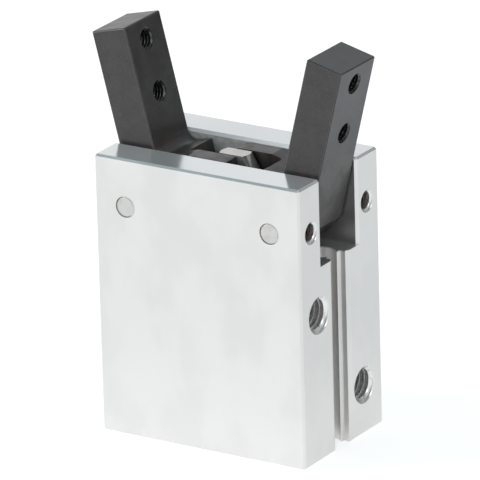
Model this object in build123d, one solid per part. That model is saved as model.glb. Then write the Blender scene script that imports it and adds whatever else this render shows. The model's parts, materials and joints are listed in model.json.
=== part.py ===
from build123d import *

import math
import os

# Two-finger angular gripper, worked by an air cylinder inside the body.
# Millimetres. The origin is the middle of the bottom face, +Z points to the
# fingertips, X runs across the fingers and the plain front face is at -Y.
# The model stands at rest with the fingers fully open.

# Body block
BODY_WIDTH = 32.4
BODY_DEPTH = 20.4
BODY_HEIGHT = 40.0
EDGE_CHAMFER = 0.3

# Finger slot, cut right across the top
SLOT_WIDTH = 9.4
SLOT_DEPTH = 12.4
SLOT_CHAMFER = 0.4

# Sensor groove down each side
GROOVE_MOUTH = 5.1
GROOVE_BEVEL_DEPTH = 0.34
GROOVE_STEP = 3.7
GROOVE_STEP_DEPTH = 1.1
GROOVE_NECK = 2.5
GROOVE_NECK_DEPTH = 1.3
GROOVE_ROUND_RADIUS = 2.1
GROOVE_ROUND_DEPTH = 3.0

# Air ports in the right side, M5 with the bore at the size of the thread
PORT_RADIUS = 2.5
PORT_DEPTH = 5.0
PORT_MOUTH_RADIUS = 2.65
AIR_HOLE_RADIUS = 1.0
UPPER_PORT_FROM_FACE = 4.5
UPPER_PORT_BELOW_BORE_TOP = 1.7
LOWER_PORT_FROM_FACE = 4.7
LOWER_PORT_Z = 7.1

# Mounting threads in the bottom face, M4
BASE_THREAD_RADIUS = 2.0
BASE_THREAD_DEPTH = 6.0
BASE_THREAD_INSET = (4.0, 4.0)
THREAD_MOUTH = 0.35

# Pivots of the fingers
PIVOT_FROM_SIDE = 4.8
PIVOT_BELOW_TOP = 6.9
PIN_RADIUS = 1.5
PIN_END_CHAMFER = 0.2
PIN_RECESS = 0.05
PIVOT_RUNNING_GAP = 0.03

# Screws that lock the pivot pins, M3
SCREW_RADIUS = 1.5
SCREW_FROM_FACE = 3.0
SCREW_LENGTH = 2.2
SCREW_SOCKET_WIDTH = 1.5
SCREW_SOCKET_DEPTH = 1.1
SCREW_HOLE_BREAK = 0.2
SCREW_MOUTH = 0.12

# Fingers, with the tilt measured from upright
OPEN_TILT = 14.0
FINGER_TRAVEL = 19.0
FINGER_WIDTH = 5.5
FINGER_THICKNESS = 8.8
FINGER_REACH = 23.35
FINGER_EDGE = 0.15
FINGER_END_GAP = 0.3
HEEL_CUT_WIDTH = 2.5
HEEL_CUT_HEIGHT = 4.2
FINGER_HOLE_RADIUS = 1.5
FINGER_HOLES_BELOW_TOP = (2.75, 10.2)

# Lever of each finger, a block that steps down to one prong with a fork
LEVER_TOP_DROP = 0.27
LEVER_BLOCK_RISE = 4.85
LEVER_BLOCK_TO_ROD = 1.2
FORK_PAST_PIN = 2.15
LEVER_CORNER = 0.5
LEVER_ROOT_FILLET = 1.5
PRONG_INNER_Y = 1.5
LEVER_SLOT_ANGLE = 12.75
LEVER_SLOT_GAP = 0.05

# Centre pin and piston rod
CENTRE_PIN_RADIUS = 2.0
CENTRE_PIN_LENGTH = 9.0
ROD_RADIUS = 4.0
TONGUE_THICKNESS = 2.4
TONGUE_TOP_WIDTH = 4.3
TONGUE_TOP_DROP = 0.3
TONGUE_FLANK_ANGLE = 28.0
STUD_RADIUS = 2.5

# Cylinder, from the bottom face up
BORE_RADIUS = 8.0
BORE_TOP_WALL = 5.0
RING_BOTTOM = 0.7
RING_THICKNESS = 0.9
RING_GROOVE_RADIUS = 9.1
RING_WIDTH = 1.4
RING_OPENING = 56.0
CAP_RADIUS = 8.6
CAP_THICKNESS = 2.6
GASKET_THICKNESS = 0.7
UPPER_BUMPER_THICKNESS = 1.1
UPPER_BUMPER_RADIUS = 5.5
LOWER_BUMPER_THICKNESS = 2.5
LOWER_BUMPER_RADIUS = 5.0
GUIDE_RADIUS = 6.0
GUIDE_LENGTH = 2.0
ROD_SEAL_LENGTH = 1.8
PISTON_RADIUS = 7.9
SEAL_GROOVE_HEIGHT = 1.8
SEAL_GROOVE_RADIUS = 6.2
MAGNET_HEIGHT = 2.0
NUT_HEIGHT = 2.5
NUT_WIDTH = 8.0

# Clearances
FIT_GAP = 0.01
ROD_GAP = 0.04
PISTON_SEAL_GAP = 0.04
STOP_GAP = 0.1
WIDE_GAP = 0.3

# How far a cut runs past the face it opens in, and how near counts as on a face
PAST = 1.0
NEAR = 0.01

# Solids that stand on the height they are given
STANDING = (Align.CENTER, Align.CENTER, Align.MIN)

# Sizes that follow from the ones above, the slopes in radians
HALF_WIDTH = BODY_WIDTH / 2
HALF_DEPTH = BODY_DEPTH / 2
SLOT_FLOOR = BODY_HEIGHT - SLOT_DEPTH
PIVOT_X = HALF_WIDTH - PIVOT_FROM_SIDE
PIVOT_Z = BODY_HEIGHT - PIVOT_BELOW_TOP
SCREW_Y = HALF_DEPTH - SCREW_FROM_FACE
BASE_THREAD_X = HALF_WIDTH - BASE_THREAD_INSET[0]
BASE_THREAD_Y = HALF_DEPTH - BASE_THREAD_INSET[1]
BORE_TOP = SLOT_FLOOR - BORE_TOP_WALL
UPPER_PORT_PLACE = (UPPER_PORT_FROM_FACE - HALF_DEPTH, BORE_TOP - UPPER_PORT_BELOW_BORE_TOP)
LOWER_PORT_PLACE = (HALF_DEPTH - LOWER_PORT_FROM_FACE, LOWER_PORT_Z)
LEVER_TOP = BODY_HEIGHT - LEVER_TOP_DROP
LEVER_HALF = FINGER_THICKNESS / 2
LEVER_BLOCK_REACH = PIVOT_X - ROD_RADIUS - LEVER_BLOCK_TO_ROD
LEVER_REACH = PIVOT_X + FORK_PAST_PIN
CENTRE_PIN_Z = PIVOT_Z + PIVOT_X * math.tan(math.radians(LEVER_SLOT_ANGLE))
CLOSED_PIN_Z = PIVOT_Z + PIVOT_X * math.tan(math.radians(LEVER_SLOT_ANGLE - FINGER_TRAVEL))
STROKE = CENTRE_PIN_Z - CLOSED_PIN_Z
BOSS_RADIUS = LEVER_TOP - CENTRE_PIN_Z
SEAT_RADIUS = PIVOT_Z - SLOT_FLOOR - FINGER_END_GAP
LEVER_LENGTH = PIVOT_X / math.cos(math.radians(LEVER_SLOT_ANGLE))
UNDERSIDE_SLOPE = math.radians(LEVER_SLOT_ANGLE) + math.asin((SEAT_RADIUS - BOSS_RADIUS) / LEVER_LENGTH)
UNDERSIDE_BELOW_PIN = BOSS_RADIUS / math.cos(UNDERSIDE_SLOPE) + ROD_RADIUS * math.tan(UNDERSIDE_SLOPE)
TONGUE_BOTTOM = CENTRE_PIN_Z - UNDERSIDE_BELOW_PIN - WIDE_GAP
CAP_BOTTOM = RING_BOTTOM + RING_THICKNESS + STOP_GAP
CAP_TOP = CAP_BOTTOM + CAP_THICKNESS
SHOULDER = CAP_TOP + GASKET_THICKNESS
LOWER_BUMPER_TOP = CAP_TOP + LOWER_BUMPER_THICKNESS
NUT_BOTTOM = LOWER_BUMPER_TOP + STOP_GAP + STROKE
MAGNET_BOTTOM = NUT_BOTTOM + NUT_HEIGHT
PISTON_BOTTOM = MAGNET_BOTTOM + MAGNET_HEIGHT
BUMPER_BOTTOM = BORE_TOP - UPPER_BUMPER_THICKNESS
PISTON_TOP = BUMPER_BOTTOM - STOP_GAP
SEAL_BOTTOM = (PISTON_BOTTOM + PISTON_TOP - SEAL_GROOVE_HEIGHT) / 2
SEAL_TOP = SEAL_BOTTOM + SEAL_GROOVE_HEIGHT
GUIDE_TOP = BORE_TOP + GUIDE_LENGTH
ROD_SEAL_TOP = GUIDE_TOP + ROD_SEAL_LENGTH


def disc(radius, bottom, top, x=0.0, y=0.0):
    """An upright cylinder between two heights."""
    return Pos(x, y, bottom) * Cylinder(radius, top - bottom, align=STANDING)


def ring(outer, inner, bottom, top):
    """A plain ring about the cylinder's axis."""
    return disc(outer, bottom, top) - disc(inner, bottom - PAST, top + PAST)


def along_x(radius, start, end, y, z):
    """A cylinder along X from start to end."""
    middle = (start + end) / 2
    return Pos(middle, y, z) * Rot(0, 90, 0) * Cylinder(radius, abs(end - start))


def along_y(radius, length, x, z):
    """A cylinder along Y, centred on the middle plane."""
    return Pos(x, 0, z) * Rot(90, 0, 0) * Cylinder(radius, length)


def hexagon(across_flats, height):
    """An upright hexagonal prism."""
    return extrude(RegularPolygon(across_flats / 2, 6, major_radius=False), height)


def mouth(radius, depth, face, inward):
    """A countersink that opens to radius at the face, to be cut from a body."""
    cone = Cone(radius - depth, radius, depth, align=(Align.CENTER, Align.CENTER, Align.MAX))
    return Plane(origin=face, z_dir=[-c for c in inward]) * cone


def sensor_groove():
    """The groove for a switch, as a solid to cut from the right side."""
    half_outline = [
        (PAST, GROOVE_MOUTH / 2),
        (0, GROOVE_MOUTH / 2),
        (-GROOVE_BEVEL_DEPTH, GROOVE_STEP / 2),
        (-GROOVE_STEP_DEPTH, GROOVE_STEP / 2),
        (-GROOVE_NECK_DEPTH, GROOVE_NECK / 2),
        (-GROOVE_ROUND_DEPTH, GROOVE_NECK / 2),
    ]
    other_half = [(x, -y) for x, y in reversed(half_outline)]
    with BuildSketch() as profile:
        with BuildLine():
            Polyline(*half_outline, *other_half, close=True)
        make_face()
        with Locations((-GROOVE_ROUND_DEPTH, 0)):
            Circle(GROOVE_ROUND_RADIUS)
    groove = extrude(profile.sketch, SLOT_FLOOR + 2 * PAST)
    return Pos(HALF_WIDTH, 0, -PAST) * groove


def air_port(place):
    """A port and the small hole that leads from it to the cylinder."""
    y, z = place
    bottom = HALF_WIDTH - PORT_DEPTH
    bore_side = math.sqrt(BORE_RADIUS**2 - y**2)
    port = along_x(PORT_RADIUS, bottom, HALF_WIDTH + PAST, y, z)
    port += along_x(AIR_HOLE_RADIUS, bore_side - PAST, bottom, y, z)
    port += mouth(PORT_MOUTH_RADIUS, PORT_MOUTH_RADIUS - PORT_RADIUS, (HALF_WIDTH, y, z), (-1, 0, 0))
    return port


def cylinder_cut():
    """The stepped bore inside the body, from the bottom face to the slot."""
    cut = disc(CAP_RADIUS, -PAST, SHOULDER)
    cut += disc(RING_GROOVE_RADIUS, RING_BOTTOM - STOP_GAP / 2, CAP_BOTTOM)
    cut += disc(BORE_RADIUS, CAP_BOTTOM, BORE_TOP)
    cut += disc(GUIDE_RADIUS, BORE_TOP - PAST, ROD_SEAL_TOP)
    cut += disc(ROD_RADIUS + WIDE_GAP, GUIDE_TOP - PAST, SLOT_FLOOR + PAST)
    return cut


def body():
    """The aluminium block."""
    block = Pos(0, 0, BODY_HEIGHT / 2) * Box(BODY_WIDTH, BODY_DEPTH, BODY_HEIGHT)
    block = chamfer(block.edges(), EDGE_CHAMFER)
    slot_height = BODY_HEIGHT - SLOT_FLOOR + PAST
    block -= Pos(0, 0, SLOT_FLOOR) * Box(BODY_WIDTH + PAST, SLOT_WIDTH, slot_height, align=STANDING)
    block = chamfer(slot_edges(block), SLOT_CHAMFER)
    block -= cylinder_cut()
    groove = sensor_groove()
    block -= groove
    block -= mirror(groove, Plane.YZ)
    for place in (UPPER_PORT_PLACE, LOWER_PORT_PLACE):
        block -= air_port(place)
    for side in (-1, 1):
        x = side * BASE_THREAD_X
        y = -side * BASE_THREAD_Y
        block -= disc(BASE_THREAD_RADIUS, -PAST, BASE_THREAD_DEPTH, x, y)
        block -= mouth(BASE_THREAD_RADIUS + THREAD_MOUTH, THREAD_MOUTH, (x, y, 0), (0, 0, 1))
        block -= pin_and_screw_holes(side)
    return block


def slot_edges(block):
    """The long top edges and the upright edges of the finger slot."""
    half_slot = SLOT_WIDTH / 2
    on_wall = block.edges().filter_by(lambda e: abs(abs(e.center().Y) - half_slot) < NEAR)
    return on_wall.filter_by(lambda e: e.center().Z > SLOT_FLOOR + NEAR)


def pin_and_screw_holes(side):
    """The pivot pin's bore and the two screw holes that meet it, on one side."""
    holes = along_y(PIN_RADIUS + FIT_GAP, BODY_DEPTH + PAST, side * PIVOT_X, PIVOT_Z)
    bottom = side * (PIVOT_X + PIN_RADIUS - SCREW_HOLE_BREAK)
    for y in (-SCREW_Y, SCREW_Y):
        holes += along_x(SCREW_RADIUS + FIT_GAP, bottom, side * (HALF_WIDTH + PAST), y, PIVOT_Z)
        face = (side * HALF_WIDTH, y, PIVOT_Z)
        holes += mouth(SCREW_RADIUS + SCREW_MOUTH, SCREW_MOUTH, face, (-side, 0, 0))
    return holes


def pivot_pin(side):
    """A finger's cross pin."""
    pin = along_y(PIN_RADIUS, BODY_DEPTH - 2 * PIN_RECESS, side * PIVOT_X, PIVOT_Z)
    return chamfer(pin.edges().filter_by(GeomType.CIRCLE), PIN_END_CHAMFER)


def set_screw(side, front):
    """A socket set screw whose flat point rests on the pivot pin."""
    screw = Cylinder(SCREW_RADIUS, SCREW_LENGTH, align=STANDING)
    socket = hexagon(SCREW_SOCKET_WIDTH, SCREW_SOCKET_DEPTH + PAST)
    screw -= Pos(0, 0, SCREW_LENGTH - SCREW_SOCKET_DEPTH) * socket
    start = side * (PIVOT_X + PIN_RADIUS + FIT_GAP)
    seat = Plane(origin=(start, front * SCREW_Y, PIVOT_Z), z_dir=(side, 0, 0))
    return seat * screw


def finger_profile():
    """Outline of the left finger seen from the front, about its pivot, fully open."""
    turn = Rot(0, 0, OPEN_TILT)
    lever_top = LEVER_TOP - PIVOT_Z
    seat = Circle(SEAT_RADIUS)
    boss = Pos(PIVOT_X, CENTRE_PIN_Z - PIVOT_Z) * Circle(BOSS_RADIUS)
    top_line = Line((0, lever_top), (PIVOT_X / 2, lever_top))
    above = Pos(0, FINGER_REACH / 2) * Rectangle(FINGER_WIDTH, FINGER_REACH)
    below = Rectangle(FINGER_WIDTH, 3 * SEAT_RADIUS) & seat
    side = -FINGER_WIDTH / 2
    heel = (side, HEEL_CUT_HEIGHT - SEAT_RADIUS)
    toe = (side + HEEL_CUT_WIDTH, -SEAT_RADIUS)
    below -= Polygon(heel, (side, -SEAT_RADIUS), toe, align=None)
    lever = make_hull([*seat.edges(), *boss.edges(), *top_line.edges()])
    block_middle = LEVER_BLOCK_RISE - FINGER_REACH
    block = Pos(LEVER_REACH / 2, block_middle) * Rectangle(LEVER_REACH, 2 * FINGER_REACH)
    outline = turn * (above + below) + (lever & (turn * block))
    corner = turn * Pos(FINGER_WIDTH / 2, LEVER_BLOCK_RISE)
    root = outline.vertices().sort_by_distance(corner.position)[0]
    return fillet(root, LEVER_ROOT_FILLET)


def lever_slot():
    """The fork's slot that the centre pin works in, as an outline about the pivot."""
    half_gap = CENTRE_PIN_RADIUS + LEVER_SLOT_GAP
    slot = SlotCenterToCenter(LEVER_REACH, 2 * half_gap)
    return Rot(0, 0, LEVER_SLOT_ANGLE) * Pos(PIVOT_X + LEVER_REACH / 2, 0) * slot


def prong_step():
    """What the end mill takes off to leave the front prong, about the pivot."""
    reach = FINGER_REACH
    with BuildSketch() as step:
        with Locations((LEVER_BLOCK_REACH + reach / 2, reach / 2 - PRONG_INNER_Y)):
            Rectangle(reach, reach)
        corner = step.vertices().group_by(Axis.X)[0].sort_by(Axis.Y)[0]
        fillet(corner, LEVER_CORNER)
    cut = extrude(step.sketch, reach, both=True)
    return Rot(0, -OPEN_TILT, 0) * cut


def finger_left():
    """The left finger with its lever, fully open."""
    upright = Plane(origin=(0, LEVER_HALF, 0), x_dir=(1, 0, 0), z_dir=(0, -1, 0))
    finger = extrude(upright * finger_profile(), FINGER_THICKNESS)
    finger = chamfer(outline_edges(finger), FINGER_EDGE)
    finger -= extrude(upright * lever_slot(), FINGER_THICKNESS)
    finger -= prong_step()
    finger -= along_y(PIN_RADIUS + PIVOT_RUNNING_GAP, FINGER_THICKNESS + PAST, 0, 0)
    for below in FINGER_HOLES_BELOW_TOP:
        hole = along_x(FINGER_HOLE_RADIUS, -FINGER_WIDTH, FINGER_WIDTH, 0, FINGER_REACH - below)
        finger -= Rot(0, -OPEN_TILT, 0) * hole
    return Pos(-PIVOT_X, 0, PIVOT_Z) * finger


def outline_edges(finger):
    """The edges all round both flat sides of a finger, and across its top."""
    sides = finger.edges().filter_by(lambda e: abs(abs(e.center().Y) - LEVER_HALF) < NEAR)
    across = finger.edges().filter_by(Axis.Y).sort_by(Axis.Z)[-2:]
    return sides + across


def finger_right():
    """The same finger turned half round."""
    return Rot(0, 0, 180) * finger_left()


def centre_pin():
    """The pin that joins the rod's tongue to both levers."""
    return along_y(CENTRE_PIN_RADIUS, CENTRE_PIN_LENGTH, 0, CENTRE_PIN_Z)


def piston_rod():
    """The rod with its flat tongue above and its stud below."""
    top = BODY_HEIGHT - TONGUE_TOP_DROP
    half_top = TONGUE_TOP_WIDTH / 2
    cone_height = (ROD_RADIUS - half_top) / math.tan(math.radians(TONGUE_FLANK_ANGLE))
    cone_bottom = top - cone_height
    rod = disc(ROD_RADIUS, PISTON_TOP, cone_bottom)
    rod += Pos(0, 0, cone_bottom) * Cone(ROD_RADIUS, half_top, cone_height, align=STANDING)
    across = 2 * (ROD_RADIUS + PAST)
    for side in (-1, 1):
        y = side * (TONGUE_THICKNESS + ROD_RADIUS) / 2
        rod -= Pos(0, y, TONGUE_BOTTOM) * Box(across, ROD_RADIUS, top, align=STANDING)
    rod -= along_y(CENTRE_PIN_RADIUS + FIT_GAP, across, 0, CENTRE_PIN_Z)
    rod += disc(STUD_RADIUS, NUT_BOTTOM + WIDE_GAP, PISTON_TOP)
    return rod


def piston():
    """The piston with the groove for its seal."""
    shape = ring(PISTON_RADIUS, STUD_RADIUS + FIT_GAP, PISTON_BOTTOM, PISTON_TOP)
    return shape - ring(BORE_RADIUS, SEAL_GROOVE_RADIUS, SEAL_BOTTOM, SEAL_TOP)


def piston_seal():
    """The rubber ring between piston and bore."""
    return ring(BORE_RADIUS - PISTON_SEAL_GAP, SEAL_GROOVE_RADIUS, SEAL_BOTTOM, SEAL_TOP)


def magnet_ring():
    """The magnet that a switch in the groove feels, held under the piston by the nut."""
    return ring(PISTON_RADIUS - STOP_GAP, STUD_RADIUS + FIT_GAP, MAGNET_BOTTOM, PISTON_BOTTOM)


def piston_nut():
    """The thin nut on the rod's stud."""
    nut = Pos(0, 0, NUT_BOTTOM) * hexagon(NUT_WIDTH, NUT_HEIGHT)
    return nut - disc(STUD_RADIUS + FIT_GAP, NUT_BOTTOM - PAST, MAGNET_BOTTOM + PAST)


def rod_guide():
    """The pressed-in bush that the rod runs in, which also holds the rod's seal."""
    return ring(GUIDE_RADIUS - FIT_GAP, ROD_RADIUS + ROD_GAP, BORE_TOP, GUIDE_TOP)


def rod_seal():
    """The rubber ring round the rod."""
    return ring(GUIDE_RADIUS - FIT_GAP, ROD_RADIUS + ROD_GAP, GUIDE_TOP, ROD_SEAL_TOP)


def upper_bumper():
    """The ring that stops the piston when the fingers are open."""
    return ring(UPPER_BUMPER_RADIUS, ROD_RADIUS + WIDE_GAP, BUMPER_BOTTOM, BORE_TOP)


def lower_bumper():
    """The disc that stops the piston when the fingers are closed."""
    return disc(LOWER_BUMPER_RADIUS, CAP_TOP, LOWER_BUMPER_TOP)


def end_cap():
    """The plain cap that closes the cylinder."""
    return disc(CAP_RADIUS - FIT_GAP, CAP_BOTTOM, CAP_TOP)


def end_cap_gasket():
    """The flat ring squeezed between the end cap and the bore's shoulder."""
    return ring(CAP_RADIUS - FIT_GAP, BORE_RADIUS, CAP_TOP, SHOULDER)


def retaining_ring():
    """The open spring ring under the end cap, with an eye at each end."""
    outer = RING_GROOVE_RADIUS - STOP_GAP / 2
    top = RING_BOTTOM + RING_THICKNESS
    shape = ring(outer, outer - RING_WIDTH, RING_BOTTOM, top)
    half = math.radians(RING_OPENING / 2)
    reach = 2 * RING_GROOVE_RADIUS
    with BuildSketch() as wedge:
        with BuildLine():
            across = reach * math.cos(half)
            up = reach * math.sin(half)
            Polyline((0, 0), (across, up), (across, -up), close=True)
        make_face()
    shape -= Pos(0, 0, RING_BOTTOM - PAST) * extrude(wedge.sketch, RING_THICKNESS + 2 * PAST)
    centre = outer - RING_WIDTH - STOP_GAP
    for side in (-1, 1):
        x = centre * math.cos(half)
        y = side * centre * math.sin(half)
        shape += disc(RING_WIDTH, RING_BOTTOM, top, x, y)
        shape -= disc(RING_WIDTH / 2, RING_BOTTOM - PAST, top + PAST, x, y)
    return shape


PARTS = {
    "body": body(),
    "finger_left": finger_left(),
    "finger_right": finger_right(),
    "pivot_pin_left": pivot_pin(-1),
    "pivot_pin_right": pivot_pin(1),
    "set_screw_left_front": set_screw(-1, -1),
    "set_screw_left_rear": set_screw(-1, 1),
    "set_screw_right_front": set_screw(1, -1),
    "set_screw_right_rear": set_screw(1, 1),
    "centre_pin": centre_pin(),
    "piston_rod": piston_rod(),
    "piston": piston(),
    "piston_seal": piston_seal(),
    "magnet_ring": magnet_ring(),
    "piston_nut": piston_nut(),
    "rod_guide": rod_guide(),
    "rod_seal": rod_seal(),
    "upper_bumper": upper_bumper(),
    "lower_bumper": lower_bumper(),
    "end_cap": end_cap(),
    "end_cap_gasket": end_cap_gasket(),
    "retaining_ring": retaining_ring(),
}

os.makedirs("parts", exist_ok=True)
for name, shape in PARTS.items():
    export_step(shape, f"parts/{name}.step")
print("stroke", round(STROKE, 3), "pin height", round(CENTRE_PIN_Z, 3))
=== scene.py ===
import json
import math

import bmesh
import bpy
from mathutils import Matrix, Vector

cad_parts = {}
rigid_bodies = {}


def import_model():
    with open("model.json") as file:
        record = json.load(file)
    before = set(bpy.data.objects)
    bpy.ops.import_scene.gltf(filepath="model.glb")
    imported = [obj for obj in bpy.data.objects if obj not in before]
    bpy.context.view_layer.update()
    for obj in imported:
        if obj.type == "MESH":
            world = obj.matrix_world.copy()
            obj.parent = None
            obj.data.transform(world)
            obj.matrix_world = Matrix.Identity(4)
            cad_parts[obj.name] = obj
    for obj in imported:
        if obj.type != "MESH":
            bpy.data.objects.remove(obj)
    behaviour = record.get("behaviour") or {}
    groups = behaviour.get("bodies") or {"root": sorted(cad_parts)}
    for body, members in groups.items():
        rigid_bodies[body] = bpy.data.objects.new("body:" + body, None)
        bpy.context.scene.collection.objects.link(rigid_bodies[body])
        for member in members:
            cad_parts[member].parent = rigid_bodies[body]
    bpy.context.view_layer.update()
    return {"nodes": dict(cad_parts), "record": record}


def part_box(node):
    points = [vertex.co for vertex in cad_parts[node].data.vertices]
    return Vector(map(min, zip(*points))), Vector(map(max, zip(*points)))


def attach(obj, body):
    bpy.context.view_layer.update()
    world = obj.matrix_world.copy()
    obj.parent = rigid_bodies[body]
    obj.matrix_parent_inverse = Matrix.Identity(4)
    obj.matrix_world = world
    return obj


# Finishes, threads, floor, light and camera for a small angular gripper.
# Metres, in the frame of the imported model: +Z to the fingertips, the plain
# front face at -Y and the air ports in the side at +X. The cells of noise,
# the rounding of edges and the depth of bumps are given in millimetres.

MM = 0.001

# Camera, with its angles in degrees and its lens and sensor in millimetres
CAMERA_AZIMUTH = 32.46
CAMERA_ELEVATION = 19.99
CAMERA_ROLL = -1.58
CAMERA_DISTANCE = 1.0
CAMERA_TARGET = Vector((0.00032, 0, 0.02711))
CAMERA_LENS = 553.57
SENSOR_WIDTH = 36.0

# The dim side of the studio
BACK_RIGHT = (0.6, 0.8, 0)

# Floor, just under the part
FLOOR_RADIUS = 0.40
FLOOR_SIDES = 96
FLOOR_DROP = 0.02 * MM
FLOOR_COLOUR = (0.62, 0.62, 0.62, 1)

# Light that the floor adds where it is seen, and where it is mirrored in metal
FLOOR_LIFT = 0.66
FLOOR_LIFT_MIRRORED = 0.53

# Mirrored, the floor is brighter close to the part and dimmer on the dim side
POOL_LIFT = 1.20
POOL_EDGE = (0.028, 0.060)
DIM_SIDE = 0.93
DIM_FROM = (0.020, 0.060)

# World: where each change starts and ends and, for the dimming, its two levels
WIDE_DIM = (0.15, 0.95, 0.0, 0.86)
WIDE_DIM_BY_HEIGHT = (0.10, 0.45, 1.0, 0.35)
NARROW_DIM = (0.60, 0.85, 0.0, 0.55)
OVERHEAD = (0.35, 0.85)
OVERHEAD_LEVEL = 0.38
LOW_COLOUR = (1, 0.99, 1, 1)
OVERHEAD_COLOUR = (0.76, 1.0, 1.05, 1)

# Lamps: name, place, size and power
LAMP_TARGET = Vector((0, 0, 0.02))
LAMPS = [
    ("key", Vector((-0.80, -0.45, 0.42)), 0.5, 4.2),
    ("right", Vector((0.74, -0.12, 0.57)), 0.35, 0.8),
]

# The body's slot: milled bright near the top, with painted shade in patches on its walls near the top
# between the fingers, and painted shade on its walls and floor elsewhere
SLOT_MOUTH_HALF = 5.11 * MM
SLOT_WALL_HALF = 4.72 * MM
SLOT_BOTTOM = 27.45 * MM
SLOT_END = 15.78 * MM
BETWEEN_FINGERS = 14.3 * MM
MILLED_FROM = 35.0 * MM
MILLED_FULLY = 38.5 * MM

# The fingers are brown with oil low down, and darker and rougher in patches up to a little higher
OILY_BELOW = 39.6 * MM
OIL_FADES = 1.4 * MM
DARKER_BELOW = 41.0 * MM
DARKER_FADES = 2.0 * MM

# The fingers' outer faces get a painted sheen, paler towards the tips
SHEEN_FROM = 43.0 * MM
SHEEN_FULLY = 52.0 * MM

# How much of a face's normal points outwards where it starts to count as outer, and where it does
OUTER_FACE = (0.80, 0.95)

# Where the fingers' edges are rounded more and paled as painted highlight: clear of their threaded holes
CLEAR_OF_HOLES = (1.9 * MM, 2.2 * MM)
ABOVE_HOLES = 54.8 * MM

# The cosine between the rounded and the plain normal where an edge starts, and where it is full
EDGE_BENDS = (0.995, 0.90)
BEVEL_SAMPLES = 6

# Colours that aren't greys
# The top's aluminium tone, tinted teal as painted reflection of the overhead light
TEAL_SHEEN_TOP = (0.80, 0.825, 0.83, 1)
OIL_BROWN = (0.055, 0.032, 0.021, 1)
# The painted sheen of the fingers' outer faces
OUTER_SHEEN_TONE = (0.062, 0.058, 0.067, 1)
STEEL_SHEEN = (1.0, 0.96, 0.99, 1)
LOCKING_BROWN = (0.070, 0.032, 0.024, 1)
ALUMINIUM = (0.74, 0.75, 0.75, 1)
BRONZE = (0.45, 0.27, 0.11, 1)

# The fingers' gloss, and the rings that a lathe leaves
STEEL_IOR = 1.65
RINGS_PER_METRE = 45000

# Threads: the pitch of each thread by its radius, in millimetres
PITCHES = {1.5: 0.5, 2.0: 0.7, 2.5: 0.8}

# A ridge's height, and the widths of its crest and its root, as shares of the pitch
THREAD_HEIGHT = 0.54
CREST_SHARE = 0.25
ROOT_SHARE = 0.875

# How far a ridge goes into the bore's wall, and how low it gets where it runs out
THREAD_ROOTED = 0.02 * MM
LEAST_RIDGE = 0.02 * MM

# In a bore with one mouth the ridge grows to its full height over these turns
TAPER_TURNS = 0.4

# The ridge's middle passes this angle, in degrees, for the last time this many pitches from the mouth
LAST_PASS_ANGLE = 90.0
LAST_PASS_PITCHES = 0.45

# How finely a ridge is made, how near points are made one, and from which angle an edge is sharp
SEGMENTS_PER_TURN = 48
MERGED = 0.0002 * MM
SHARP_ANGLE = math.radians(25)

# The countersink of the locking screws' holes
SCREW_MOUTH = 0.12 * MM


def clear_scene():
    """Removes whatever the empty scene starts with."""
    for thing in list(bpy.data.objects):
        bpy.data.objects.remove(thing)


def plug(tree, socket, value):
    """Links a socket, or sets a plain value."""
    if isinstance(value, bpy.types.NodeSocket):
        tree.links.new(value, socket)
    else:
        socket.default_value = value


def node(tree, kind, inputs=None, **settings):
    """A shader node with its settings made and its inputs filled."""
    made = tree.nodes.new("ShaderNode" + kind)
    for name, value in settings.items():
        setattr(made, name, value)
    for name, value in (inputs or {}).items():
        plug(tree, made.inputs[name], value)
    return made


def maths(tree, operation, first, second=0.0):
    """One arithmetic step."""
    return node(tree, "Math", {0: first, 1: second}, operation=operation).outputs[0]


def times(tree, first, second):
    """The product of two numbers or masks."""
    return maths(tree, "MULTIPLY", first, second)


def plus(tree, first, second):
    """The sum of two numbers."""
    return maths(tree, "ADD", first, second)


def dot(tree, first, second):
    """The dot product of two vectors."""
    return node(tree, "VectorMath", {0: first, 1: second}, operation="DOT_PRODUCT").outputs["Value"]


def magnitude(tree, vector):
    """The length of a vector."""
    return node(tree, "VectorMath", {0: vector}, operation="LENGTH").outputs["Value"]


def parts(tree, vector):
    """The X, Y and Z of a vector."""
    return node(tree, "SeparateXYZ", {0: vector}).outputs


def place_of(tree):
    """The place on the surface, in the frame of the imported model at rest."""
    return node(tree, "TexCoord").outputs["Object"]


def normal_of(tree):
    """The surface's normal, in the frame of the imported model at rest."""
    return node(tree, "TexCoord").outputs["Normal"]


def levelness(tree):
    """One on a level face, whether it looks up or down, and nought on an upright one."""
    return maths(tree, "ABSOLUTE", parts(tree, normal_of(tree))["Z"])


def ramp(tree, value, start, end, low=0.0, high=1.0):
    """A smooth change from low to high while value goes from start to end."""
    inputs = {"Value": value, "From Min": start, "From Max": end, "To Min": low, "To Max": high}
    return node(tree, "MapRange", inputs, interpolation_type="SMOOTHSTEP").outputs[0]


def blend(tree, factor, first, second):
    """A colour between two colours."""
    return node(tree, "Mix", {0: factor, 6: first, 7: second}, data_type="RGBA").outputs[2]


def layered(tree, tone, layers):
    """A colour with other colours laid over it, each by its own mask."""
    for mask, colour in layers:
        tone = blend(tree, mask, tone, colour)
    return tone


def even(size):
    """A cell of noise with the same size along X, Y and Z."""
    return (size, size, size)


def noise(tree, cell, detail=2.0, shift=0.0):
    """Noise whose cells have the given sizes along X, Y and Z, moved by a number of cells."""
    scale = [1 / (size * MM) for size in cell]
    inputs = {"Vector": place_of(tree), "Scale": scale, "Location": (shift, shift, shift)}
    cells = node(tree, "Mapping", inputs).outputs[0]
    return node(tree, "TexNoise", {"Vector": cells, "Scale": 1.0, "Detail": detail}).outputs[0]


def rounded(tree, radius):
    """The surface's normal with the edges rounded by radius, which may differ from place to place."""
    if isinstance(radius, bpy.types.NodeSocket):
        reach = times(tree, radius, MM)
    else:
        reach = radius * MM
    return node(tree, "Bevel", {"Radius": reach}, samples=BEVEL_SAMPLES).outputs[0]


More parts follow.
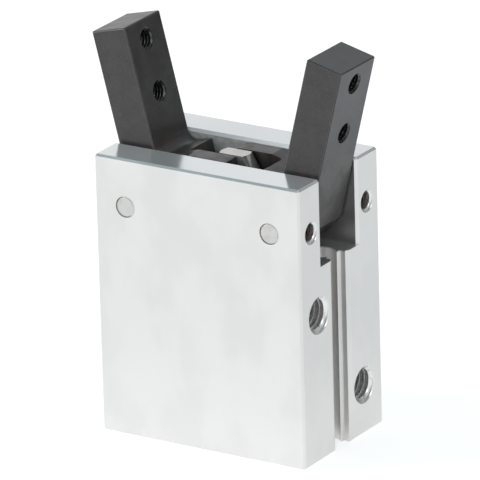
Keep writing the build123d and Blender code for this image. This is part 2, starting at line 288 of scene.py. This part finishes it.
def edge_mask(tree, soft):
    """One along the edges and nought on the flats, from the rounded normal."""
    plain = node(tree, "NewGeometry").outputs["Normal"]
    return ramp(tree, dot(tree, soft, plain), *EDGE_BENDS)


def bump(tree, height, depth, normal):
    """A normal with bumps of the given depth."""
    inputs = {"Height": height, "Distance": depth * MM, "Strength": 1.0, "Normal": normal}
    return node(tree, "Bump", inputs).outputs[0]


def new_material(name):
    """A node material with its tree and its shader."""
    material = bpy.data.materials.new(name)
    material.use_nodes = True
    return material, material.node_tree, material.node_tree.nodes["Principled BSDF"]


def surface(tree, shader, tone, rough, metallic, normal):
    """Fills what every finish has: colour, roughness, share of metal, and normal."""
    plug(tree, shader.inputs["Base Color"], tone)
    plug(tree, shader.inputs["Roughness"], rough)
    plug(tree, shader.inputs["Metallic"], metallic)
    plug(tree, shader.inputs["Normal"], normal)


def grey(level, warmth=0.0):
    """A grey, warmer by a small share."""
    return (level * (1 + warmth), level, level * (1 - warmth), 1)


def slot_masks(tree):
    """Masks of the slot's milled mouth, of its walls between the fingers, which get painted shade in
    patches, and of the rest of its walls and floor, which get painted shade.
    """
    place = parts(tree, place_of(tree))
    along = maths(tree, "ABSOLUTE", place["X"])
    aside = maths(tree, "ABSOLUTE", place["Y"])
    inside = maths(tree, "LESS_THAN", along, SLOT_END)
    mouth = times(tree, inside, maths(tree, "LESS_THAN", aside, SLOT_MOUTH_HALF))
    walls = times(tree, inside, maths(tree, "LESS_THAN", aside, SLOT_WALL_HALF))
    walls = times(tree, walls, maths(tree, "GREATER_THAN", place["Z"], SLOT_BOTTOM))
    high = ramp(tree, place["Z"], MILLED_FROM, MILLED_FULLY)
    between = times(tree, high, maths(tree, "LESS_THAN", along, BETWEEN_FINGERS))
    shade_in_slot = times(tree, walls, maths(tree, "SUBTRACT", 1.0, between))
    milled = times(tree, times(tree, mouth, high), maths(tree, "SUBTRACT", 1.0, shade_in_slot))
    shade_between_fingers = times(tree, walls, between)
    return milled, shade_between_fingers, shade_in_slot


def anodised_tone(tree, level, grain, smudges, edges, masks):
    """The body's colour: smudges, grain, a top tinted teal as painted reflection, the slot's milling and
    painted shade, edges paled as painted highlight.
    """
    milled, shade_between_fingers, shade_in_slot = masks
    shade_patches = noise(tree, (1.1, 1.1, 0.5), detail=4.0, shift=9.0)
    shade_between_fingers = times(tree, shade_between_fingers, ramp(tree, shade_patches, 0.40, 0.60, low=0.0, high=0.4))
    shade_between_fingers = times(tree, shade_between_fingers, ramp(tree, level, 0.3, 0.6, low=1.0, high=0.0))
    milled = times(tree, milled, ramp(tree, level, 0.3, 0.6))
    shade_in_slot = times(tree, shade_in_slot, ramp(tree, level, 0.8, 0.95, low=0.8, high=0.35))
    smudged_side = grey(0.76, warmth=0.013)
    clean_side = grey(0.81, warmth=0.013)
    side = blend(tree, ramp(tree, smudges, 0.38, 0.62), smudged_side, clean_side)
    layers = [
        (times(tree, grain, 0.35), grey(0.745, warmth=0.013)),
        # Level faces tinted teal: painted reflection of the overhead light
        (ramp(tree, level, 0.75, 0.9), TEAL_SHEEN_TOP),
        # Painted shade, in patches, on the slot's upright walls between the fingers
        (shade_between_fingers, grey(0.42, warmth=0.01)),
        (milled, grey(0.94)),
        # Painted shade on the rest of the slot's walls and on its floor
        (shade_in_slot, grey(0.36, warmth=0.02)),
        # Edges paled as painted highlight
        (times(tree, edges, 0.6), grey(0.95)),
    ]
    return layered(tree, side, layers)


def clear_anodised():
    """Clear anodised aluminium: a smooth ground top, satin sides with a faint upright grain."""
    material, tree, shader = new_material("clear_anodised_aluminium")
    level = levelness(tree)
    masks = slot_masks(tree)
    milled = masks[0]
    soft = rounded(tree, 0.05)
    smudges = noise(tree, (7, 7, 11), detail=3.0)
    upright = noise(tree, (0.10, 0.10, 9))
    across = noise(tree, (9, 0.10, 9))
    grain = node(tree, "Mix", {0: ramp(tree, level, 0.8, 0.95), 2: upright, 3: across}).outputs[0]
    tone = anodised_tone(tree, level, grain, smudges, edge_mask(tree, soft), masks)
    rough = ramp(tree, level, 0.45, 0.66, low=0.36, high=0.16)
    rough = plus(tree, rough, times(tree, milled, 0.22))
    rough = plus(tree, rough, ramp(tree, smudges, 0.3, 0.7, low=-0.03, high=0.03))
    metallic = ramp(tree, level, 0.8, 0.97, low=0.86, high=0.72)
    metallic = times(tree, metallic, ramp(tree, milled, 0.0, 1.0, low=1.0, high=0.30))
    normal = bump(tree, grain, depth=0.0012, normal=soft)
    surface(tree, shader, tone, rough, metallic=metallic, normal=normal)
    return material


def tapped_aluminium():
    """Anodised threads: softer than the ground faces, with dark dirt in patches."""
    material, tree, shader = new_material("tapped_aluminium")
    dirt = noise(tree, even(0.9), shift=2.0)
    clean = grey(0.86, warmth=0.006)
    dirty = grey(0.66, warmth=0.02)
    tone = blend(tree, ramp(tree, dirt, 0.50, 0.70), clean, dirty)
    rough = ramp(tree, dirt, 0.3, 0.7, low=0.14, high=0.22)
    normal = bump(tree, dirt, depth=0.001, normal=rounded(tree, 0.03))
    surface(tree, shader, tone, rough, metallic=0.80, normal=normal)
    return material


def steel_tone(tree, mottle, fine, darker_low, edges):
    """The fingers' colour: mottling, specks, oil, darker patches low down, a painted sheen on the outer
    faces, tops paled as painted light and edges as painted highlight.
    """
    place = parts(tree, place_of(tree))
    outwards = times(tree, parts(tree, normal_of(tree))["X"], maths(tree, "SIGN", place["X"]))
    specks = noise(tree, even(0.45), detail=0.0, shift=3.0)
    oil = noise(tree, even(1.6), shift=11.0)
    oily = ramp(tree, place["Z"], OILY_BELOW, OILY_BELOW + OIL_FADES, low=1.0, high=0.0)
    oily = times(tree, oily, ramp(tree, outwards, *OUTER_FACE, low=1.0, high=0.35))
    oily = times(tree, oily, ramp(tree, oil, 0.42, 0.62, low=0.0, high=0.7))
    # Painted sheen on the outer faces, growing towards the tips
    paler = ramp(tree, outwards, *OUTER_FACE, low=0.0, high=0.8)
    paler = times(tree, paler, ramp(tree, place["Z"], SHEEN_FROM, SHEEN_FULLY))
    darker_black = grey(0.014, warmth=0.04)
    paler_black = grey(0.024, warmth=0.02)
    black = blend(tree, ramp(tree, mottle, 0.35, 0.65), darker_black, paler_black)
    layers = [
        (ramp(tree, fine, 0.5, 0.7, low=0.0, high=0.5), grey(0.05, warmth=0.02)),
        (ramp(tree, specks, 0.78, 0.84, low=0.0, high=0.3), grey(0.12)),
        (oily, OIL_BROWN),
        (paler, OUTER_SHEEN_TONE),
        (darker_low, grey(0.004)),
        # Level faces, the tops, paled a little as painted light from above
        (ramp(tree, levelness(tree), 0.85, 0.97, low=0.0, high=0.15), grey(0.10, warmth=0.02)),
        # Edges paled as painted highlight
        (times(tree, edges, 0.7), grey(0.22, warmth=0.02)),
    ]
    return layered(tree, black, layers)


def blackened_steel():
    """Blackened, fine ground steel with faint mottling, few specks and edges paled as painted highlight."""
    material, tree, shader = new_material("blackened_steel")
    place = parts(tree, place_of(tree))
    aside = ramp(tree, maths(tree, "ABSOLUTE", place["Y"]), *CLEAR_OF_HOLES)
    outer = maths(tree, "MAXIMUM", aside, maths(tree, "GREATER_THAN", place["Z"], ABOVE_HOLES))
    soft = rounded(tree, ramp(tree, outer, 0.0, 1.0, low=0.02, high=0.14))
    edges = times(tree, edge_mask(tree, soft), outer)
    mottle = noise(tree, even(2.2), detail=4.0)
    fine = noise(tree, even(0.16), detail=3.0, shift=7.0)
    darker_low = ramp(tree, place["Z"], DARKER_BELOW, DARKER_BELOW + DARKER_FADES, low=1.0, high=0.0)
    darker_low = times(tree, darker_low, ramp(tree, mottle, 0.45, 0.60, low=0.0, high=0.35))
    tone = steel_tone(tree, mottle, fine, darker_low, edges)
    rough = ramp(tree, mottle, 0.3, 0.7, low=0.26, high=0.34)
    rough = plus(tree, rough, times(tree, fine, 0.08))
    rough = plus(tree, rough, times(tree, darker_low, 0.12))
    normal = bump(tree, fine, depth=0.004, normal=soft)
    surface(tree, shader, tone, rough, metallic=0.0, normal=normal)
    plug(tree, shader.inputs["IOR"], STEEL_IOR)
    plug(tree, shader.inputs["Specular Tint"], STEEL_SHEEN)
    return material


def tapped_steel():
    """Tapped and blackened steel, as the jaw threads are, dark with paler patches."""
    material, tree, shader = new_material("tapped_steel")
    patches = noise(tree, even(0.4))
    tone = blend(tree, ramp(tree, patches, 0.40, 0.65), grey(0.045), grey(0.11, warmth=0.02))
    rough = ramp(tree, patches, 0.3, 0.7, low=0.16, high=0.22)
    normal = bump(tree, patches, depth=0.002, normal=rounded(tree, 0.03))
    surface(tree, shader, tone, rough, metallic=0.8, normal=normal)
    return material


def bright_steel(name, level, warmth, roughness, metallic, cell):
    """Ground or milled bright steel with a grain of the given cells."""
    material, tree, shader = new_material(name)
    grain = noise(tree, cell, detail=3.0)
    patches = noise(tree, even(1.4), shift=5.0)
    tone = blend(tree, ramp(tree, patches, 0.35, 0.65), grey(level * 0.9, warmth), grey(level, warmth))
    rough = ramp(tree, grain, 0.3, 0.7, low=roughness - 0.06, high=roughness + 0.06)
    normal = bump(tree, grain, depth=0.002, normal=rounded(tree, 0.06))
    surface(tree, shader, tone, rough, metallic=metallic, normal=normal)
    return material


def screw_steel():
    """Black oxide steel with brown locking compound left on it."""
    material, tree, shader = new_material("black_oxide_screw")
    patches = noise(tree, even(0.7))
    tone = blend(tree, ramp(tree, patches, 0.42, 0.55), grey(0.03), LOCKING_BROWN)
    rough = ramp(tree, patches, 0.3, 0.7, low=0.32, high=0.50)
    normal = bump(tree, patches, depth=0.01, normal=rounded(tree, 0.05))
    surface(tree, shader, tone, rough, metallic=0.3, normal=normal)
    return material


def turned_metal(name, colour, roughness):
    """Metal turned on a lathe, with rings about the cylinder's axis."""
    material, tree, shader = new_material(name)
    place = place_of(tree)
    flat = node(tree, "VectorMath", {0: place, 1: (1, 1, 0)}, operation="MULTIPLY").outputs[0]
    along = plus(tree, magnitude(tree, flat), parts(tree, place)["Z"])
    turn = {"W": times(tree, along, RINGS_PER_METRE), "Scale": 1.0, "Detail": 2.0}
    rings = node(tree, "TexNoise", turn, noise_dimensions="1D").outputs[0]
    patches = noise(tree, even(3))
    darker = [part * 0.86 for part in colour[:3]] + [1]
    tone = blend(tree, ramp(tree, patches, 0.3, 0.7), darker, colour)
    rough = ramp(tree, rings, 0.3, 0.7, low=roughness - 0.07, high=roughness + 0.07)
    normal = bump(tree, rings, depth=0.004, normal=rounded(tree, 0.05))
    surface(tree, shader, tone, rough, metallic=0.95, normal=normal)
    return material


def rubber(name, level):
    """Matt rubber with a fine moulded texture."""
    material, tree, shader = new_material(name)
    fine = noise(tree, even(0.12), detail=3.0)
    bloom = noise(tree, even(2.5))
    tone = blend(tree, ramp(tree, bloom, 0.35, 0.7), grey(level), grey(level * 1.5))
    rough = ramp(tree, fine, 0.3, 0.7, low=0.58, high=0.72)
    normal = bump(tree, fine, depth=0.006, normal=rounded(tree, 0.08))
    surface(tree, shader, tone, rough, metallic=0.0, normal=normal)
    return material


def moulded_plastic():
    """Dark plastic bound with magnet powder."""
    material, tree, shader = new_material("magnet_compound")
    powder = noise(tree, even(0.09))
    tone = blend(tree, ramp(tree, powder, 0.55, 0.7), grey(0.045), grey(0.12))
    rough = ramp(tree, powder, 0.3, 0.7, low=0.42, high=0.55)
    normal = bump(tree, powder, depth=0.004, normal=rounded(tree, 0.06))
    surface(tree, shader, tone, rough, metallic=0.0, normal=normal)
    return material


def spring_steel():
    """Phosphated spring steel, dark grey with a crystalline bloom."""
    material, tree, shader = new_material("phosphated_spring_steel")
    bloom = noise(tree, even(0.5), detail=4.0)
    soft = rounded(tree, 0.08)
    tone = blend(tree, ramp(tree, bloom, 0.35, 0.65), grey(0.07), grey(0.13, warmth=0.02))
    # Edges paled as painted highlight
    tone = blend(tree, times(tree, edge_mask(tree, soft), 0.4), tone, grey(0.3))
    rough = ramp(tree, bloom, 0.3, 0.7, low=0.35, high=0.5)
    normal = bump(tree, bloom, depth=0.004, normal=soft)
    surface(tree, shader, tone, rough, metallic=0.6, normal=normal)
    return material


def make_finishes():
    """The finish of each slot of the record, and two more for the threads."""
    pin_steel = bright_steel(
        "ground_pin_steel", level=0.64, warmth=0.03, roughness=0.34, metallic=0.95, cell=even(0.12))
    rod_steel = bright_steel(
        "milled_rod_steel", level=0.62, warmth=0.04, roughness=0.20, metallic=0.70, cell=(1.5, 0.08, 0.08))
    return {
        "anodised_body": clear_anodised(),
        "tapped_aluminium": tapped_aluminium(),
        "finger_steel": blackened_steel(),
        "tapped_steel": tapped_steel(),
        "pin_steel": pin_steel,
        "screw_steel": screw_steel(),
        "rod_steel": rod_steel,
        "turned_aluminium": turned_metal("turned_aluminium", ALUMINIUM, roughness=0.24),
        "bearing_bronze": turned_metal("sintered_bronze", BRONZE, roughness=0.36),
        "seal_rubber": rubber("seal_rubber", level=0.022),
        "bumper_rubber": rubber("bumper_rubber", level=0.045),
        "magnet_plastic": moulded_plastic(),
        "spring_steel": spring_steel(),
    }


def dress(frame, finishes):
    """Gives each carried-over node the finish of its slot in the record."""
    slots = {row["node"]: row["material_slot"] for row in frame["record"]["subparts"]}
    for name, thing in frame["nodes"].items():
        for slot in thing.material_slots:
            slot.material = finishes[slots[name]]


def section_corners(low, high, slope, top, length, mouths):
    """Places along the bore where a ridge's section bends: at its crest, and where a cone cuts it."""
    full = top + THREAD_ROOTED
    to_mouth = length + THREAD_ROOTED
    crest_ends = [low + full / slope, high - full / slope]
    cone_on_crest = [length - top]
    cone_on_flanks = [(to_mouth + slope * low) / (slope + 1), (slope * high - to_mouth) / (slope - 1)]
    if mouths == 2:
        cone_on_crest += [top]
        cone_on_flanks += [(slope * high - THREAD_ROOTED) / (slope + 1)]
        cone_on_flanks += [(slope * low + THREAD_ROOTED) / (slope - 1)]
    return crest_ends + cone_on_crest + cone_on_flanks


def ridge_section(middle, top, pitch, length, mouths):
    """Places along the bore and heights of a ridge's section, cut by a cone of 45 degrees at each mouth."""
    half_root = ROOT_SHARE / 2 * pitch
    half_crest = CREST_SHARE / 2 * pitch
    slope = THREAD_HEIGHT * pitch / (half_root - half_crest)
    low = middle - half_root
    high = middle + half_root
    first = max(low, 0.0)
    last = min(high, length)
    corners = section_corners(low, high, slope, top, length, mouths)
    places = sorted([first, last] + [min(last, max(first, corner)) for corner in corners])
    section = [(first, 0.0)]
    for place in places:
        height = min(top + THREAD_ROOTED, slope * (place - low), slope * (high - place))
        height = min(height, length + THREAD_ROOTED - place)
        if mouths == 2:
            height = min(height, place + THREAD_ROOTED)
        section.append((place, max(0.0, height)))
    return section + [(last, 0.0)]


def ridge_rows(mesh, start, axis, length, radius, mouths):
    """The points of the ridge's sections, one row for each step along its turns."""
    pitch = PITCHES[radius] * MM
    outer = radius * MM + THREAD_ROOTED
    depth = THREAD_HEIGHT * pitch
    half_root = ROOT_SHARE / 2 * pitch
    first = LEAST_RIDGE - half_root if mouths == 2 else half_root
    turns = (length + half_root - LEAST_RIDGE - first) / pitch
    last_pass = (length - first) / pitch - LAST_PASS_PITCHES
    phase = math.radians(LAST_PASS_ANGLE) - 2 * math.pi * last_pass
    turn_to_axis = Vector((0, 0, 1)).rotation_difference(axis).to_matrix()
    rows = []
    for step in range(math.ceil(turns * SEGMENTS_PER_TURN) + 1):
        along = min(step / SEGMENTS_PER_TURN, turns)
        angle = phase + 2 * math.pi * along
        top = depth if mouths == 2 else min(depth, LEAST_RIDGE + depth * along / TAPER_TURNS)
        row = []
        for place, height in ridge_section(first + along * pitch, top, pitch, length, mouths):
            reach = outer - height
            local = Vector((reach * math.cos(angle), reach * math.sin(angle), place))
            row.append(mesh.verts.new(start + turn_to_axis @ local))
        rows.append(row)
    return rows


def join_rows(mesh, rows):
    """A closed surface through the rows, with points that meet made one."""
    for before, after in zip(rows, rows[1:]):
        for corner in range(len(before)):
            following = (corner + 1) % len(before)
            mesh.faces.new((before[corner], before[following], after[following], after[corner]))
    mesh.faces.new(reversed(rows[0]))
    mesh.faces.new(rows[-1])
    bmesh.ops.remove_doubles(mesh, verts=mesh.verts, dist=MERGED)
    bmesh.ops.recalc_face_normals(mesh, faces=mesh.faces)


def add_object(name, mesh):
    """Puts a mesh into the scene as a new object."""
    data = bpy.data.meshes.new(name)
    mesh.to_mesh(data)
    mesh.free()
    made = bpy.data.objects.new(name, data)
    bpy.context.scene.collection.objects.link(made)
    return made


def thread(name, start, axis, length, radius, mouths):
    """The helical ridge of an inside thread, with one or two countersunk mouths."""
    mesh = bmesh.new()
    join_rows(mesh, ridge_rows(mesh, start, axis, length, radius, mouths))
    for face in mesh.faces:
        face.smooth = True
    for edge in mesh.edges:
        edge.smooth = edge.calc_face_angle(0) < SHARP_ANGLE
    return add_object(name, mesh)


def add_thread(name, start, axis, length, radius, body, slot, finish, mouths=1):
    """A thread's ridge with its finish, riding on the body that its bore is in."""
    piece = thread(name, start, axis, length, radius, mouths)
    piece.data.materials.append(finish)
    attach(piece, body)


def add_mount_threads(frame, finishes):
    """The threads of the air ports, the mounting holes and the fingers' holes."""
    for mount in frame["record"]["mounts"]:
        if mount["kind"] != "threaded_hole":
            continue
        axis = Vector(mount["axis"])
        length = mount["dims"]["length_mm"] * MM
        start = Vector(mount["pos_m"]) - axis * length / 2
        shape = (mount["name"] + "_ridge", start, axis, length, mount["dims"]["r_mm"])
        if "finger" in mount["name"]:
            body = mount["name"].split("_")[0] + "_finger"
            add_thread(*shape, body, "finger_steel", finishes["tapped_steel"], mouths=2)
        else:
            add_thread(*shape, "housing", "anodised_body", finishes["tapped_aluminium"])


def add_screw_threads(frame, finishes):
    """The threads between each locking screw and the side of the body."""
    side_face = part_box("body")[1].x
    for name in frame["nodes"]:
        if not name.startswith("set_screw"):
            continue
        low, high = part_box(name)
        side = 1 if low.x > 0 else -1
        outer_end = max(abs(low.x), abs(high.x))
        start = Vector((side * outer_end, (low.y + high.y) / 2, (low.z + high.z) / 2))
        length = side_face - SCREW_MOUTH - outer_end
        radius = round((high.z - low.z) / 2 / MM, 1)
        ridge = name.replace("set_screw", "screw_hole") + "_ridge"
        shape = (ridge, start, Vector((side, 0, 0)), length, radius)
        add_thread(*shape, "housing", "anodised_body", finishes["tapped_aluminium"])


def floor_lift(tree):
    """The light that the floor adds for the camera, and for what mirrors it."""
    path = node(tree, "LightPath")
    place = place_of(tree)
    seen = plus(tree, path.outputs["Is Camera Ray"], path.outputs["Is Transmission Ray"])
    pool = ramp(tree, magnitude(tree, place), *POOL_EDGE, low=POOL_LIFT, high=1.0)
    dimmed = ramp(tree, dot(tree, place, BACK_RIGHT), *DIM_FROM, low=1.0, high=DIM_SIDE)
    mirrored = times(tree, path.outputs["Is Glossy Ray"], FLOOR_LIFT_MIRRORED)
    mirrored = times(tree, mirrored, times(tree, pool, dimmed))
    return plus(tree, times(tree, seen, FLOOR_LIFT), mirrored)


def pale_floor():
    """A matt pale material that is clear from below."""
    material, tree, shader = new_material("pale_floor")
    tree.nodes.remove(shader)
    lift = node(tree, "Emission", {"Strength": floor_lift(tree)})
    matt = node(tree, "BsdfDiffuse", {"Color": FLOOR_COLOUR})
    pale = node(tree, "AddShader", {0: matt.outputs[0], 1: lift.outputs[0]})
    below = node(tree, "NewGeometry").outputs["Backfacing"]
    clear = node(tree, "BsdfTransparent")
    one_sided = node(tree, "MixShader", {0: below, 1: pale.outputs[0], 2: clear.outputs[0]})
    plug(tree, tree.nodes["Material Output"].inputs["Surface"], one_sided.outputs[0])
    return material


def add_floor():
    """A wide pale floor that keeps the object's shadow."""
    mesh = bmesh.new()
    bmesh.ops.create_circle(mesh, cap_ends=True, segments=FLOOR_SIDES, radius=FLOOR_RADIUS)
    floor = add_object("floor", mesh)
    floor.location.z = -FLOOR_DROP
    floor.data.materials.append(pale_floor())


def add_world():
    """A soft studio: bright low down, dimmer overhead and towards the back right."""
    world = bpy.data.worlds.new("soft_studio")
    bpy.context.scene.world = world
    world.use_nodes = True
    tree = world.node_tree
    direction = node(tree, "TexCoord").outputs["Generated"]
    height = parts(tree, direction)["Z"]
    back_right = dot(tree, direction, BACK_RIGHT)
    dim = times(tree, ramp(tree, back_right, *WIDE_DIM), ramp(tree, height, *WIDE_DIM_BY_HEIGHT))
    dim = maths(tree, "MAXIMUM", dim, ramp(tree, back_right, *NARROW_DIM))
    level = ramp(tree, height, *OVERHEAD, low=1.0, high=OVERHEAD_LEVEL)
    colour = blend(tree, ramp(tree, height, *OVERHEAD), LOW_COLOUR, OVERHEAD_COLOUR)
    background = tree.nodes["Background"]
    plug(tree, background.inputs["Color"], colour)
    plug(tree, background.inputs["Strength"], times(tree, maths(tree, "SUBTRACT", 1.0, dim), level))


def add_lamp(name, place, size, power):
    """A square soft lamp that looks at the part."""
    light = bpy.data.lights.new(name, "AREA")
    light.size = size
    light.energy = power
    lamp = bpy.data.objects.new(name, light)
    lamp.location = place
    lamp.rotation_euler = (LAMP_TARGET - place).to_track_quat("-Z", "Y").to_euler()
    bpy.context.scene.collection.objects.link(lamp)


def add_lamps():
    """A large soft key from the front left and a small one high on the right."""
    for lamp in LAMPS:
        add_lamp(*lamp)


def camera_axes():
    """The camera's right, up and backward directions."""
    azimuth = math.radians(CAMERA_AZIMUTH)
    elevation = math.radians(CAMERA_ELEVATION)
    roll = math.radians(CAMERA_ROLL)
    level = math.cos(elevation)
    back = Vector((math.sin(azimuth) * level, -math.cos(azimuth) * level, math.sin(elevation)))
    right = Vector((math.cos(azimuth), math.sin(azimuth), 0))
    up = back.cross(right)
    rolled_right = right * math.cos(roll) + up * math.sin(roll)
    rolled_up = up * math.cos(roll) - right * math.sin(roll)
    return rolled_right, rolled_up, back


def add_camera():
    """The camera at the photograph's angle, with its slight roll."""
    right, up, back = camera_axes()
    camera_data = bpy.data.cameras.new("camera")
    camera_data.lens = CAMERA_LENS
    camera_data.sensor_width = SENSOR_WIDTH
    camera = bpy.data.objects.new("camera", camera_data)
    turn = Matrix((right, up, back)).transposed().to_4x4()
    camera.matrix_world = Matrix.Translation(CAMERA_TARGET + back * CAMERA_DISTANCE) @ turn
    bpy.context.scene.collection.objects.link(camera)
    bpy.context.scene.camera = camera


clear_scene()
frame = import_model()
bpy.context.scene.view_settings.view_transform = "Standard"
finishes = make_finishes()
dress(frame, finishes)
add_mount_threads(frame, finishes)
add_screw_threads(frame, finishes)
add_floor()
add_world()
add_lamps()
add_camera()
